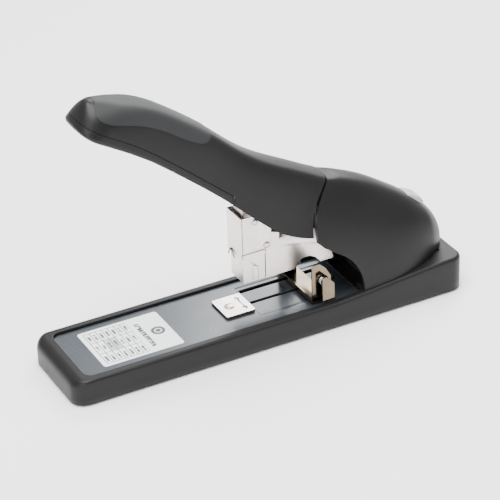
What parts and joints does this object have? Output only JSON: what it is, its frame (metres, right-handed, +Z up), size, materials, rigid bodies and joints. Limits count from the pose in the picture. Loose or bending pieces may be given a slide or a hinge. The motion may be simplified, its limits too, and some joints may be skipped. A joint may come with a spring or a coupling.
{
  "type": "heavy-duty desktop stapler",
  "caption": "Long-base desktop stapler with a raised lever handle, sprung head over an anvil, staple rail and pusher, and a sliding paper stop with squeeze buttons.",
  "frame": {"origin": "middle of the footprint, on the surface the stapler stands on", "axes": "+X along the base from the grip end to the rear cover, +Z up, +Y to the side completing a right-handed frame"},
  "size_m": [0.285, 0.0672, 0.1922],
  "materials": {
    "black_plastic": "fine satin moulding",
    "grip_rubber": "soft matt grip",
    "deck_paint": "satin slate-grey paint",
    "nickel_steel": "bright nickel plate",
    "dark_steel": "plain pressed steel",
    "brass_tone": "yellow zinc plate",
    "spring_steel": "drawn wire and turned pins",
    "label_paper": null,
    "foot_rubber": "matt",
    "grey_plastic": "satin"
  },
  "bodies": {
    "base": {"base_shell": "black_plastic", "foot_1": "foot_rubber", "foot_2": "foot_rubber", "foot_3": "foot_rubber", "foot_4": "foot_rubber", "deck_plate": "deck_paint", "label": "label_paper", "anvil_plate": "nickel_steel", "anvil_rivet": "nickel_steel", "pivot_bracket": "dark_steel", "bracket_screw_1": "spring_steel", "bracket_screw_2": "spring_steel", "bracket_screw_3": "spring_steel", "bracket_screw_4": "spring_steel", "head_hinge_pin": "spring_steel", "handle_hinge_pin": "spring_steel", "hinge_spacer_left": "spring_steel", "hinge_spacer_right": "spring_steel", "handle_spring": "spring_steel", "head_spring": "spring_steel", "rear_cover": "black_plastic"},
    "head": {"head_frame": "nickel_steel", "nose_piece": "nickel_steel", "head_housing": "nickel_steel", "head_rivet_left_1": "nickel_steel", "head_rivet_left_2": "nickel_steel", "head_rivet_right_1": "nickel_steel", "head_rivet_right_2": "nickel_steel", "latch_wire": "spring_steel", "staple_rail": "dark_steel", "pusher_rod": "spring_steel", "pusher_spring": "spring_steel"},
    "pusher": {"staple_pusher": "dark_steel"},
    "driver": {"driver_blade": "nickel_steel", "driver_striker": "brass_tone"},
    "handle": {"lever_channel": "dark_steel", "drive_pin": "spring_steel", "handle_upper_shell": "black_plastic", "handle_lower_shell": "black_plastic", "grip_insert": "grip_rubber"},
    "stop": {"stop_frame": "nickel_steel", "stop_clamp": "dark_steel", "stop_spring_left": "spring_steel", "stop_spring_right": "spring_steel"},
    "stop_left": {"stop_button_left": "nickel_steel"},
    "stop_right": {"stop_button_right": "nickel_steel"},
    "release": {"release_button": "grey_plastic"}
  },
  "joints": [
    {"name": "handle_press", "type": "hinge", "parent": "base", "child": "handle", "pos_m": [0.072, 0, 0.067], "axis": [0, -1, 0], "range_deg": [0, 28], "stiffness_Nm_per_rad": 0.9, "springref_deg": -34.38},
    {"name": "head_swing", "type": "hinge", "parent": "base", "child": "head", "pos_m": [0.1032, 0, 0.033], "axis": [0, -1, 0], "range_deg": [0, 9.62], "deforming": ["head_spring"]},
    {"name": "driver_slide", "type": "slide", "parent": "head", "child": "driver", "axis": [0, 0, -1], "range_m": [0, 0.01935]},
    {"name": "pusher_slide", "type": "slide", "parent": "head", "child": "pusher", "axis": [1, 0, 0], "range_m": [0, 0.038], "stiffness_N_per_m": 30, "springref_m": -0.02, "deforming": ["pusher_spring"]},
    {"name": "stop_slide", "type": "slide", "parent": "base", "child": "stop", "axis": [1, 0, 0], "range_m": [-0.026, 0.008]},
    {"name": "stop_button_left_press", "type": "slide", "parent": "stop", "child": "stop_left", "axis": [0, -1, 0], "range_m": [0, 0.0028], "stiffness_N_per_m": 300, "springref_m": -0.002, "deforming": ["stop_spring_left"]},
    {"name": "stop_button_right_press", "type": "slide", "parent": "stop", "child": "stop_right", "axis": [0, 1, 0], "range_m": [0, 0.0028], "stiffness_N_per_m": 300, "springref_m": -0.002, "deforming": ["stop_spring_right"]},
    {"name": "release_press", "type": "slide", "parent": "base", "child": "release", "axis": [-0.6, 0, -0.8], "range_m": [0, 0.003], "stiffness_N_per_m": 400, "springref_m": -0.002}
  ],
  "couplings": [
    {"joint": "head_swing", "follows": "handle_press", "ratio": 0.34286},
    {"joint": "driver_slide", "follows": "handle_press", "m_per_rad": 0.039493}
  ]
}
